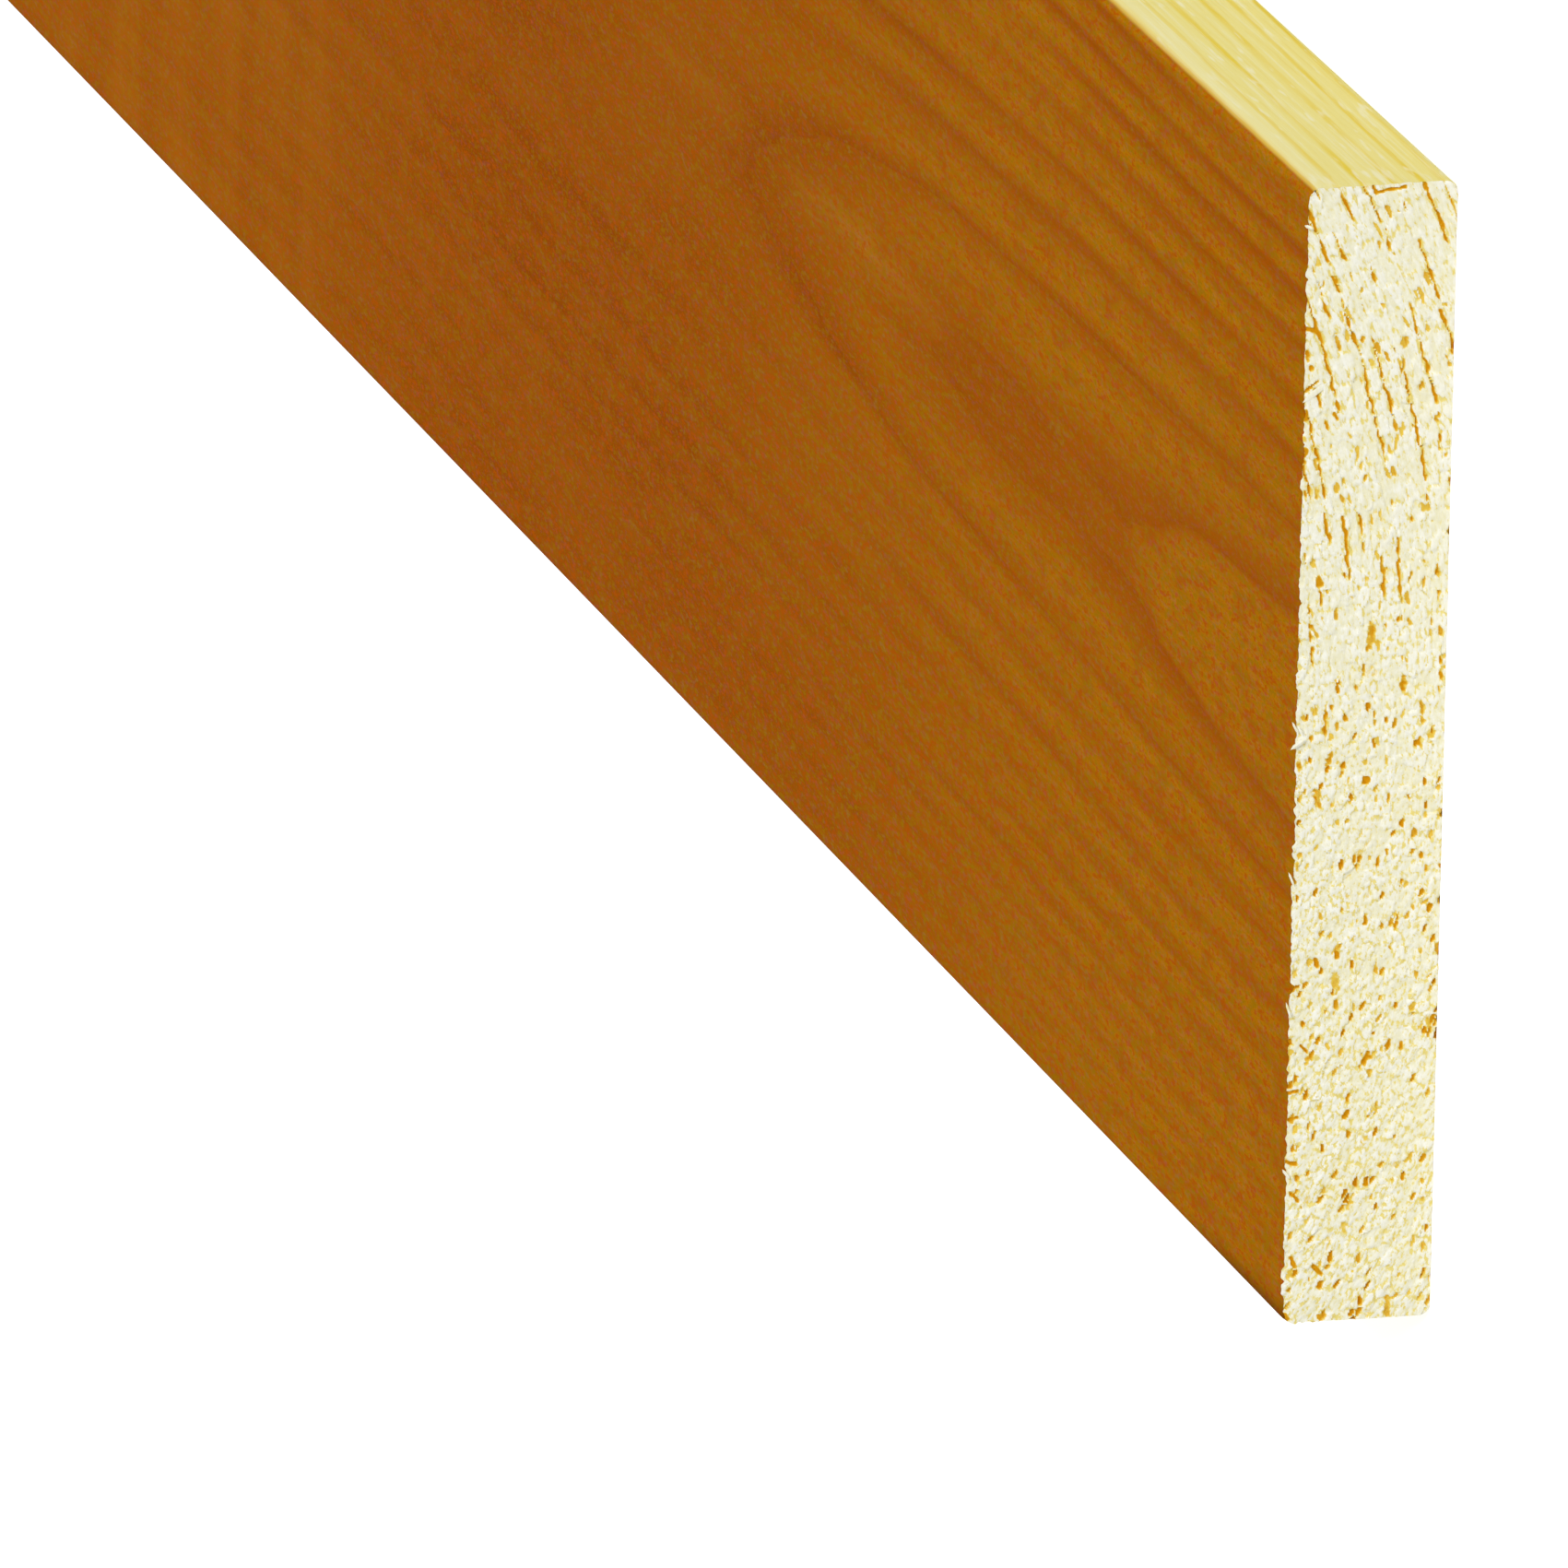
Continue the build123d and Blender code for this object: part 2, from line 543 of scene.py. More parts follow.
def cracks(radius, round_ring, flake, fibre, seed):
    """Splits along the ends of the rings, broken from fibre to fibre, most of them towards +Y. Returns how
    open they are, and how near each point is to one."""
    number = ring_number(radius + CRACK_JAG * (both_layers(flake, fibre) - 0.5))
    ring = np.round(number)
    width_here = np.asarray(RING_WIDTHS)[np.clip(ring.astype(int), 0, len(RING_WIDTHS) - 1)]
    wander = WANDER * plane_noise(round_ring, radius, WANDER_LENGTH, seed, WANDER_START)
    from_ring = np.abs((number - ring) * width_here + wander)
    lane = RING_LANE * ring + 0.5
    run = smooth_noise(round_ring / CRACK_LENGTH + RUN_START, lane, seed + 1)
    beads = smooth_noise(round_ring / BEAD_LENGTH + BEAD_START, lane, seed + 2)
    need = CRACK_NEED - CRACK_EASE * fade(round_ring, *CRACK_SIDE)
    pull = run + BEAD_PULL * beads + FIBRE_PULL * (fibre - 0.5)
    strength = fade(pull, need, need + CRACK_ONSET)
    least, by_fibre, by_bead = CRACK_WIDTH_SHARES
    width = CRACK_WIDTH * (least + by_fibre * fibre + by_bead * fade(beads, *CRACK_BEADS))
    is_open = strength * fade(-from_ring, -width, -CRACK_FLOOR * width)
    return is_open, strength * fade(-from_ring, -CRACK_REACH, 0.0)


def pits(y, z, radius, seed):
    """Small holes where the saw pulled fibres out, each drawn out along the ring."""
    rng = np.random.default_rng(seed)
    hole = np.zeros(y.shape)
    rough = PIT_ROUGHNESS * plane_noise(y, z, PIT_ROUGH_SIZE, seed + 1)
    lean = np.arctan2(np.gradient(radius, axis=1), -np.gradient(radius, axis=0))
    for _ in range(PIT_COUNT):
        at_y = rng.triangular(-WIDTH / 2, -WIDTH / 2, WIDTH)
        at_z = rng.uniform(0, THICKNESS)
        length = PIT_LENGTH * rng.lognormal(0, PIT_SPREAD)
        width = length * rng.uniform(*PIT_SLENDER)
        strength = rng.uniform(*PIT_STRENGTH)
        turn = rng.normal(0, PIT_TURN)
        near = (np.abs(y - at_y) < PIT_REACH * length) & (np.abs(z - at_z) < PIT_REACH * length)
        angle = lean[near] + turn
        along = (y[near] - at_y) * np.cos(angle) + (z[near] - at_z) * np.sin(angle)
        across = (z[near] - at_z) * np.cos(angle) - (y[near] - at_y) * np.sin(angle)
        distance = np.hypot(along / length, across / width) + rough[near]
        hole[near] = np.maximum(hole[near], strength * fade(-distance, *PIT_RIM))
    return hole


def tears(y, z):
    """The near end's short tears."""
    rough = 1 + TEAR_ROUGHNESS * plane_noise(y, z, TEAR_ROUGH_SIZE, TEAR_SEED)
    hole = np.zeros(y.shape)
    for start, stop, width in TEARS:
        run = np.subtract(stop, start)
        part = np.clip(((y - start[0]) * run[0] + (z - start[1]) * run[1]) / run.dot(run), 0, 1)
        distance = np.hypot(y - start[0] - part * run[0], z - start[1] - part * run[1])
        hole = np.maximum(hole, fade(-distance * rough, -width, -TEAR_FLOOR * width))
    return hole


def fibre_count(round_ring):
    """How far round the ring each point is, counted in fibre lengths. They are longest towards +Y."""
    places = np.linspace(-WIDTH, WIDTH, COUNT_PLACES)
    lengths = SHORT_FIBRE + (LONG_FIBRE - SHORT_FIBRE) * fade(places, *LONG_FIBRE_SIDE)
    counts = np.cumsum(1 / lengths) * (places[1] - places[0])
    return np.interp(round_ring, places, counts)


def layer(across, along, seed):
    """One layer of torn fibres: each one's own number and tilt, and how near each point is to the next."""
    own, offset, gap = cells(across + LAYER_START, along + LAYER_START, seed)
    way = own * TILT_TURNS
    tilt = offset[0] * np.cos(way) + TILT_ALONG * offset[1] * np.sin(way)
    return own, tilt, gap


def crevice(own, gap):
    """The gaps that open beside some of a layer's fibres."""
    return fade(-gap, -CREVICE_WIDTH, 0.0) * fade(own, *CREVICED)


def pulled_fibres(y, fibre, gap):
    """The holes that single fibres left, fewer towards +Y."""
    share = PULLED_FIBRES * (1 - PULLED_LESS * fade(y, *PULLED_SIDE))
    return (fibre < share) * fade(gap, *PULLED_RIM) * (PULLED_DEPTH + PULLED_BY_FIBRE * fibre)


def lips(hole):
    """How much of a raised lip stands round each hole."""
    return fade(hole, 0.0, LIP_TOP) * fade(-hole, -LIP_END, -LIP_TOP)


def sawn_end(x, step, seed):
    """One end's points, with its torn fibres, cracks and pits, where they were before the saw tore them, and
    what the material reads there."""
    y, z = section_grid(step)
    flat = np.full(y.shape, x)
    radius, round_ring = ring_place(flat, y, z)
    swayed = radius + SWAY * plane_noise(y, z, SWAY_LENGTH, seed + SWAY_SEED, SWAY_START)
    count = fibre_count(round_ring)
    fibre, fibre_tilt, fibre_gap = layer(swayed / FIBRE_WIDTH, count, seed)
    flake, flake_tilt, flake_gap = layer(swayed / FLAKE_WIDTH, count / FIBRES_PER_FLAKE, seed + FLAKE_SEED)
    gaps = np.maximum(crevice(flake, flake_gap), FIBRE_CREVICE * crevice(fibre, fibre_gap))
    crack, by_crack = cracks(radius, round_ring, flake, fibre, seed + CRACK_SEED)
    gaps = np.maximum(gaps, by_crack)
    pit = np.maximum(pits(y, z, radius, seed + PIT_SEED), pulled_fibres(y, fibre, fibre_gap))
    if x > 0:
        pit = np.maximum(pit, tears(y, z))
    hole = np.maximum(crack, pit)
    height = FLAKE_RELIEF * (flake - 1) + FIBRE_RELIEF * (fibre - 1)
    height += TILT * (flake_tilt + FIBRE_TILT * fibre_tilt)
    height += LIP_HEIGHT * lips(hole) - CREVICE_DEPTH * gaps
    height -= np.maximum(CRACK_DEPTH * crack, PIT_DEPTH * pit)
    outwards = 1.0 if x > 0 else -1.0
    inside, *ways = depth_inside(y, z)
    edge, notch = fray(y, z, seed + FRAY_SEED)
    hole = np.maximum(hole, notch * fade(-inside, *NOTCH_RIM))
    edge = edge * fade(-inside, -FRAY_REACH, 0.0)
    points = np.stack([flat + outwards * height, *push_out(y, z, ways, edge)], axis=-1)
    return points, (y, z), {"open": hole, "gap": gaps, "fibre": both_layers(flake, fibre), "count": count}


# Long sides

def outline():
    """The section's outline as few points, from the middle of the arris at -Y and Z = 0, towards +Y."""
    half = np.array([WIDTH / 2, THICKNESS / 2])
    corners = [(1, -1), (1, 1), (-1, 1), (-1, -1)]
    points = []
    for turn, (side_y, side_z) in enumerate(corners):
        start = -math.pi / 2 + turn * math.pi / 2
        centre = (half - ARRIS_RADIUS) * (side_y, side_z)
        before = (half - ARRIS_RADIUS) * corners[turn - 1]
        way = np.array([math.cos(start), math.sin(start)]) * ARRIS_RADIUS
        span = np.linalg.norm(centre - before)
        steps = max(2, round((span - 2 * ARRIS_MARGIN) / FLAT_STEP))
        flat = np.linspace(ARRIS_MARGIN, span - ARRIS_MARGIN, steps + 1) / span
        points += [before + (centre - before) * part + way for part in flat]
        for angle in np.linspace(start, start + math.pi / 2, ARRIS_STEPS + 1):
            points.append(centre + ARRIS_RADIUS * np.array([math.cos(angle), math.sin(angle)]))
    lead = ARRIS_STEPS // 2 + 1
    points = points[-lead:] + points[:-lead]
    y, z = np.array(points).T
    return y, z + THICKNESS / 2


def perimeter(grid):
    """A grid's outermost points in order round the section, from its first corner towards +Y."""
    return np.concatenate([grid[0, :-1], grid[:-1, -1], grid[-1, :0:-1], grid[:0:-1, 0]])


def share_round(y, z):
    """How far round the outline each point is, from 0 to 1."""
    steps = np.hypot(np.diff(np.append(y, y[0])), np.diff(np.append(z, z[0])))
    return np.concatenate([[0.0], np.cumsum(steps)]) / steps.sum()


class BoardMesh:
    """Collects the board's points, faces and what the materials read at each point."""

    def __init__(self):
        self.points = []
        self.faces = []
        self.kinds = []
        self.values = {key: [] for key in POINT_VALUES}
        self.count = 0

    def add_points(self, points, at_rest, extra=None):
        """Adds points and returns their numbers. at_rest is where they are before the saw tears them."""
        x, y, z = at_rest
        _, _, way_z = depth_inside(y, z)
        radius, _ = ring_place(x, y, z)
        middle = y - np.interp(NEAR_END - x, DRIFT_FROM_END, DRIFT_ACROSS)
        wide = np.where(way_z < 0, fade(-way_z, *BACK_FACE_ONLY), way_z ** 2)
        here = {"ring": ring_number(radius), "radius": radius, "middle": middle, "wide": wide}
        here.update(extra or {})
        for key, parts in self.values.items():
            parts.append(here.get(key, np.zeros(y.shape)).ravel())
        self.points.append(points.reshape(-1, 3))
        numbers = self.count + np.arange(y.size).reshape(y.shape)
        self.count += y.size
        return numbers

    def add_faces(self, faces, kind):
        """Adds faces of one kind, or of a kind each."""
        faces = [tuple(int(n) for n in face) for face in faces]
        self.faces += faces
        self.kinds += list(np.broadcast_to(kind, len(faces)))

    def add_end(self, numbers, kind, facing_near):
        """The faces over an end's grid."""
        corners = [numbers[:-1, :-1], numbers[:-1, 1:], numbers[1:, 1:], numbers[1:, :-1]]
        quads = np.stack([corner.ravel() for corner in corners], axis=1)
        self.add_faces(quads if facing_near else quads[:, ::-1], kind)

    def add_band(self, upper, lower, kind):
        """The faces between two loops with as many points. upper is nearer the near end."""
        quads = np.stack([upper, lower, np.roll(lower, -1), np.roll(upper, -1)], axis=1)
        self.add_faces(quads, kind)

    def add_joint(self, upper, upper_share, lower, lower_share, kind):
        """The triangles between two loops that differ in how many points they have."""
        i = 0
        j = 0
        triangles = []
        while i < len(upper) or j < len(lower):
            on_upper = j == len(lower) or (i < len(upper) and upper_share[i + 1] <= lower_share[j + 1])
            a = upper[i % len(upper)]
            b = lower[j % len(lower)]
            if on_upper:
                i += 1
                triangles.append((a, b, upper[i % len(upper)]))
            else:
                j += 1
                triangles.append((a, b, lower[j % len(lower)]))
        self.add_faces(triangles, kind)


def frayed_loop(mesh, x, y, z, amount, seed):
    """A loop close to an end, broken in and torn as the end's own outline is, less so further along."""
    _, *ways = depth_inside(y, z)
    flat = np.full(y.shape, x)
    edge, _ = fray(y, z, seed)
    points = np.stack([flat, *push_out(y, z, ways, edge * amount)], axis=-1)
    return mesh.add_points(points, (flat, y, z))


def end_and_bands(mesh, x, inwards, step, seed):
    """An end's faces, and the loops behind it from the end inwards, as point numbers with their shares."""
    points, (y, z), extra = sawn_end(x, step, seed)
    numbers = mesh.add_points(points, (np.full(y.shape, x), y, z), extra)
    mesh.add_end(numbers, END, facing_near=x > 0)
    loop_y = perimeter(y)
    loop_z = perimeter(z)
    loops = [perimeter(numbers)]
    for band in END_BANDS:
        amount = 1 - fade(np.array(band), 0.0, FRAY_REACH)
        loops.append(frayed_loop(mesh, x + inwards * band, loop_y, loop_z, amount, seed + FRAY_SEED))
    torn = plane_noise(loop_y, loop_z, TORN_SIZE, seed + TORN_SEED) > TORN_LEVEL
    for index in range(len(loops) - 1):
        upper, lower = (loops[index], loops[index + 1])[::1 if x > 0 else -1]
        kind = np.where(torn, END, SIDE) if index == 0 else SIDE
        mesh.add_band(upper, lower, kind)
    return loops[-1], share_round(loop_y, loop_z)


def add_splinter(mesh, tip, far_tip, width):
    """A loose fibre at the near end: a flat spindle that tapers to both tips."""
    ends = [np.array([NEAR_END + out, y, z]) for y, z, out in (tip, far_tip)]
    along = ends[1] - ends[0]
    side = np.cross(along, (1.0, 0.0, 0.0))
    side *= width / 2 / np.linalg.norm(side)
    lift = np.array([SPLINTER_THICKNESS / 2, 0.0, 0.0])
    ways = (side, lift, -side, -lift)
    waist = [ends[0] + along * part + way for part in SPLINTER_WAIST for way in ways]
    points = np.array(ends + waist)
    numbers = mesh.add_points(points, tuple(points.T), {"fibre": np.full(len(points), SPLINTER_SHADE)})
    first, last = numbers[:2]
    near_ring = numbers[2:6]
    far_ring = numbers[6:]
    for i in range(4):
        j = (i + 1) % 4
        mesh.add_faces([(first, near_ring[j], near_ring[i]), (last, far_ring[i], far_ring[j])], END)
        mesh.add_faces([(near_ring[i], near_ring[j], far_ring[j], far_ring[i])], END)


def stations():
    """The places along the board that have a loop of points, from the near end to the far end."""
    turn = NEAR_END - NEAR_STRETCH
    near = np.arange(NEAR_END - NEAR_STATION - END_BANDS[-1], turn, -NEAR_STATION)
    far = np.linspace(turn, FAR_END + FAR_STATION, round((turn - FAR_END) / FAR_STATION))
    return np.concatenate([near, far])


def board_mesh():
    """The whole board as one mesh, with the loose fibres at its near end."""
    mesh = BoardMesh()
    near_loop, near_share = end_and_bands(mesh, NEAR_END, -1, NEAR_STEP, NEAR_SEED)
    y, z = outline()
    share = share_round(y, z)
    loops = []
    for x in stations():
        flat = np.full(y.shape, x)
        loops.append(mesh.add_points(np.stack([flat, y, z], axis=-1), (flat, y, z)))
    for upper, lower in zip(loops, loops[1:]):
        mesh.add_band(upper, lower, SIDE)
    far_loop, far_share = end_and_bands(mesh, FAR_END, 1, FAR_STEP, FAR_SEED)
    mesh.add_joint(near_loop, near_share, loops[0], share, SIDE)
    mesh.add_joint(loops[-1], share, far_loop, far_share, SIDE)
    for tip, far_tip, width in SPLINTERS:
        add_splinter(mesh, tip, far_tip, width)
    return mesh


def make_object(name, mesh, materials):
    """The Blender object for a collected mesh, in metres."""
    data = bpy.data.meshes.new(name)
    data.from_pydata(np.concatenate(mesh.points) / METRE, [], mesh.faces)
    for material in materials:
        data.materials.append(material)
    data.polygons.foreach_set("material_index", np.array(mesh.kinds, np.int32))
    for key, parts in mesh.values.items():
        attribute = data.attributes.new(key, "FLOAT", "POINT")
        attribute.data.foreach_set("value", np.concatenate(parts).astype(np.float32))
    data.shade_smooth()
    data.set_sharp_from_angle(angle=math.radians(SMOOTH_ANGLE))
    data.update()
    data.validate()
    piece = bpy.data.objects.new(name, data)
    bpy.context.collection.objects.link(piece)
    return piece


# Materials

def srgb(colour):
    """A colour as it shows on a screen, from 0 to 255, as the light values that shaders take."""
    shares = [value / 255 for value in colour]
    return [s / 12.92 if s <= 0.04045 else ((s + 0.055) / 1.055) ** 2.4 for s in shares] + [1.0]


class Nodes:
    """Short calls that build the nodes of a material or the world. Most return an output socket."""

    def __init__(self, owner):
        owner.use_nodes = True
        self.owner = owner
        self.tree = owner.node_tree

    def add(self, kind, inputs, **settings):
        node = self.tree.nodes.new(kind)
        for key, value in settings.items():
            setattr(node, key, value)
        for key, value in inputs.items():
            self.set(node.inputs[key], value)
        return node

    def set(self, socket, value):
        if isinstance(value, bpy.types.NodeSocket):
            self.tree.links.new(value, socket)
        else:
            socket.default_value = value

    def value(self, name):
        return self.add("ShaderNodeAttribute", {}, attribute_name=name).outputs["Fac"]

    def position(self):
        return self.add("ShaderNodeNewGeometry", {}).outputs["Position"]

    def place(self, axis):
        """How far along one of the board's axes each point is: X along, Y across and Z up."""
        return self.add("ShaderNodeSeparateXYZ", {0: self.position()}).outputs[axis]

    def math(self, operation, a, b=0.0, c=0.0):
        return self.add("ShaderNodeMath", {0: a, 1: b, 2: c}, operation=operation).outputs[0]

    def product(self, first, *others):
        for other in others:
            first = self.math("MULTIPLY", first, other)
        return first

    def noise(self, along, across, detail, roughness, place=None):
        """Noise with so many waves to a unit along and across place, or the position in metres."""
        inputs = {0: place or self.position(), 1: (along, across, across)}
        vector = self.add("ShaderNodeVectorMath", inputs, operation="MULTIPLY")
        inputs = {"Vector": vector.outputs[0], "Scale": 1.0, "Detail": detail, "Roughness": roughness}
        return self.add("ShaderNodeTexNoise", inputs).outputs["Fac"]

    def stretch(self, value, low, high, to_low, to_high):
        """A smooth change from to_low, where value is at low, to to_high, where it is at high."""
        inputs = {"Value": value, "From Min": low, "From Max": high, "To Min": to_low, "To Max": to_high}
        return self.add("ShaderNodeMapRange", inputs, interpolation_type="SMOOTHSTEP").outputs["Result"]

    def bump(self, height, settings):
        return self.add("ShaderNodeBump", {"Height": height, **settings}).outputs[0]

    def mix(self, factor, a, b, blend="MIX"):
        node = self.add("ShaderNodeMix", {}, data_type="RGBA", blend_type=blend)
        self.set(node.inputs["Factor"], factor)
        self.set(node.inputs["A"], a)
        self.set(node.inputs["B"], b)
        return node.outputs["Result"]

    def ramp(self, factor, stops):
        node = self.add("ShaderNodeValToRGB", {"Fac": factor})
        elements = node.color_ramp.elements
        while len(elements) < len(stops):
            elements.new(0.5)
        for element, (place, shade) in zip(elements, stops):
            element.position = place
            element.color = (shade, shade, shade, 1.0)
        return node.outputs["Color"]

    def finish(self, shader="Principled BSDF", **inputs):
        for key, value in inputs.items():
            self.set(self.tree.nodes[shader].inputs[key.replace("_", " ")], value)
        return self.owner


def ring_shade(nodes, ring, inner):
    """How dark the growth ring is at each point. A ring darkens outwards, and its dark end runs a little way
    into the next. In the middle of the wide face only that last part shows, next to the near end, and past
    that one long patch."""
    along = nodes.place("X")
    part = nodes.math("FRACT", ring)
    past_arch = nodes.stretch(along, *PAST_ARCH)
    patch = nodes.product(nodes.stretch(ring, *PATCH_RINGS), past_arch)
    darkens = nodes.math("MAXIMUM", nodes.stretch(ring, *DARK_RINGS), patch)
    gained = nodes.product(nodes.ramp(part, DARKENING), darkens)
    by_arch = nodes.product(inner, nodes.math("SUBTRACT", 1.0, past_arch))
    gained = nodes.math("MAXIMUM", gained, nodes.product(nodes.ramp(part, ARCH_EDGE), by_arch))
    run = nodes.product(part, nodes.math("MULTIPLY_ADD", inner, -INNER_RUN_ON, 1.0))
    by_patch = nodes.product(nodes.stretch(ring, *THINNED_RINGS), nodes.stretch(along, *PAST_NECK))
    left = nodes.math("MULTIPLY_ADD", by_patch, -PATCH_THINNING, 1.0)
    return nodes.math("MAXIMUM", nodes.product(nodes.ramp(run, RUNNING_ON), left), gained)


def late_wood(nodes):
    """How dark the late wood of the rings is, even along each ring, and with every ring of its own strength
    and in patches."""
    wobble = nodes.math("MULTIPLY_ADD", nodes.noise(*WOBBLE_NOISE), RING_WOBBLE, -RING_WOBBLE / 2)
    ring = nodes.math("ADD", nodes.value("ring"), wobble)
    inner = nodes.stretch(ring, *INNER_RINGS)
    even = ring_shade(nodes, ring, inner)
    number = nodes.math("FLOOR", ring)
    strength = nodes.add("ShaderNodeTexWhiteNoise", {"W": number}, noise_dimensions="1D").outputs["Value"]
    strength = nodes.math("MULTIPLY_ADD", strength, RING_SWING, 1 - RING_SWING)
    patches = nodes.stretch(nodes.noise(*PATCH_NOISE), *RING_PATCHES)
    patches = nodes.math("MAXIMUM", patches, nodes.product(inner, INNER_BOOST))
    return even, nodes.product(even, strength, patches)


def pale_streak(nodes):
    """Where the face cuts along the middle of the rings, in two stretches past the patch."""
    middle = nodes.math("ABSOLUTE", nodes.math("SUBTRACT", nodes.value("middle"), STREAK_OFFSET))
    narrow = nodes.math("MULTIPLY_ADD", nodes.noise(*STREAK_NOISE), STREAK_RAGGED, middle)
    along = nodes.place("X")
    stretches = 0.0
    for start, end, strength in STREAKS:
        begun = nodes.stretch(along, start, start + STREAK_FADE, 0.0, strength)
        left = nodes.stretch(along, end - STREAK_FADE, end, 1.0, 0.0)
        stretches = nodes.math("MAXIMUM", nodes.product(begun, left), stretches)
    return nodes.product(nodes.stretch(narrow, *STREAK_WIDTH), stretches)


def late_on_face(nodes, late):
    """How strongly the late wood shows on the wide faces."""
    across = nodes.place("Y")
    shows = nodes.math("ADD", nodes.stretch(across, *LATE_BELOW), nodes.stretch(across, *LATE_ABOVE))
    return nodes.product(late, shows, nodes.stretch(nodes.place("X"), *LATE_ALONG))


def brown_rings(nodes, late):
    """The wide faces' brown by growth ring, more golden towards the near end."""
    along = nodes.place("X")
    slanted = nodes.math("MULTIPLY_ADD", nodes.place("Y"), NEAR_SLANT, along)
    near = nodes.stretch(slanted, *NEAR_TONE)
    distant = nodes.stretch(along, *DISTANT_TONE)
    early_brown = nodes.mix(near, srgb(EARLY_BROWN), srgb(NEAR_EARLY_BROWN))
    early_brown = nodes.mix(distant, early_brown, srgb(DISTANT_EARLY_BROWN))
    late_brown = nodes.mix(near, srgb(LATE_BROWN), srgb(NEAR_LATE_BROWN))
    brown = nodes.mix(late, early_brown, late_brown)
    return nodes.mix(nodes.product(pale_streak(nodes), STREAK_STRENGTH), brown, srgb(STREAK_BROWN))


def mottled(nodes, brown, late, fibres):
    """The brown with its fibres, clouds, blots, specks and grit. The late wood is calmer than the rest."""
    specks = nodes.noise(*SPECK_NOISE)
    calm = nodes.stretch(late, *CALM_LATE_WOOD)
    blot = nodes.product(nodes.stretch(nodes.noise(*BLOT_NOISE), *BROWN_BLOTS), calm)
    red = nodes.product(nodes.stretch(specks, *RED_SPECKS), calm)
    olive_here = nodes.stretch(nodes.place("X"), *OLIVE_ALONG)
    olive = nodes.product(nodes.stretch(specks, *OLIVE_SPECKS), calm, olive_here)
    brown = nodes.mix(nodes.stretch(fibres, *BROWN_FIBRES), brown, srgb(FIBRE_BROWN))
    brown = nodes.mix(nodes.stretch(nodes.noise(*CLOUD_NOISE), *BROWN_CLOUDS), brown, srgb(CLOUD_BROWN))
    brown = nodes.mix(blot, brown, srgb(BLOT_BROWN))
    brown = nodes.mix(red, brown, srgb(SPECK_RED))
    brown = nodes.mix(olive, brown, srgb(SPECK_OLIVE))
    return nodes.mix(nodes.stretch(nodes.noise(*GRIT_NOISE), *GRIT), brown, BLUE_GRIT, "ADD")


def rippled(nodes, brown):
    """The brown with painted sheen on the planer's faint ripple, away from the near end, and painted shade
    darkening that end's corner.
    """
    along = nodes.place("X")
    here = nodes.product(nodes.stretch(along, *DISTANT_TONE), nodes.stretch(along, *RIPPLE_FADE))
    # Painted sheen on the planer's ripple.
    ripple = nodes.product(nodes.stretch(nodes.noise(*RIPPLE_NOISE), *RIPPLE_SHEEN), here)
    brown = nodes.mix(ripple, brown, srgb(RIPPLE_SHEEN_BROWN))
    # Painted shade on the corner by the -Y arris at the near end.
    corner = nodes.stretch(nodes.place("Y"), *CORNER_SHADE_ACROSS)
    return nodes.mix(nodes.product(corner, nodes.stretch(along, *CORNER_SHADE_ALONG)), brown, srgb(CORNER_SHADE_BROWN))


def pale_edge(nodes, even, fibres):
    """The narrow edges: cream with broken golden ring lines, fibres and flecks, and a painted highlight by
    the front arris.
    """
    broken = nodes.stretch(nodes.noise(*LINE_NOISE), *BROKEN_LINES)
    line = nodes.product(nodes.stretch(even, *EDGE_LINES), broken)
    flecks = nodes.stretch(nodes.noise(*FLECK_NOISE), *EDGE_FLECKS)
    # A painted highlight along the edge by the front arris.
    painted_highlight = nodes.stretch(nodes.place("Z"), *HIGHLIGHT_HEIGHT)
    pale = nodes.mix(line, srgb(EDGE_CREAM), srgb(EDGE_LINE))
    pale = nodes.mix(nodes.stretch(fibres, *PALE_FIBRES), pale, srgb(EDGE_PALE_FIBRE))
    pale = nodes.mix(nodes.stretch(fibres, *GOLD_FIBRES), pale, srgb(EDGE_GOLD_FIBRE))
    pale = nodes.mix(flecks, pale, srgb(EDGE_FLECK))
    return nodes.mix(painted_highlight, pale, srgb(EDGE_HIGHLIGHT))


def planed_wood():
    """The planed long sides: brown on the wide faces, pale on the narrow edges and golden between."""
    nodes = Nodes(bpy.data.materials.new("planed_softwood"))
    even, late = late_wood(nodes)
    fibres = nodes.noise(*FIBRE_NOISE)
    face_late = late_on_face(nodes, late)
    brown = rippled(nodes, mottled(nodes, brown_rings(nodes, face_late), face_late, fibres))
    wide = nodes.math("MULTIPLY_ADD", nodes.noise(*ARRIS_NOISE), ARRIS_RAGGED, nodes.value("wide"))
    pale = pale_edge(nodes, even, fibres)
    pale = nodes.mix(nodes.stretch(wide, *GOLD_ARRIS), pale, srgb(ARRIS_GOLD))
    colour = nodes.mix(nodes.stretch(wide, *BROWN_ARRIS), pale, brown)
    bump = nodes.bump(nodes.math("MULTIPLY_ADD", late, LATE_RELIEF, fibres), PLANED_BUMP)
    return nodes.finish(Base_Color=colour, Normal=bump, **PLANED_SHEEN)


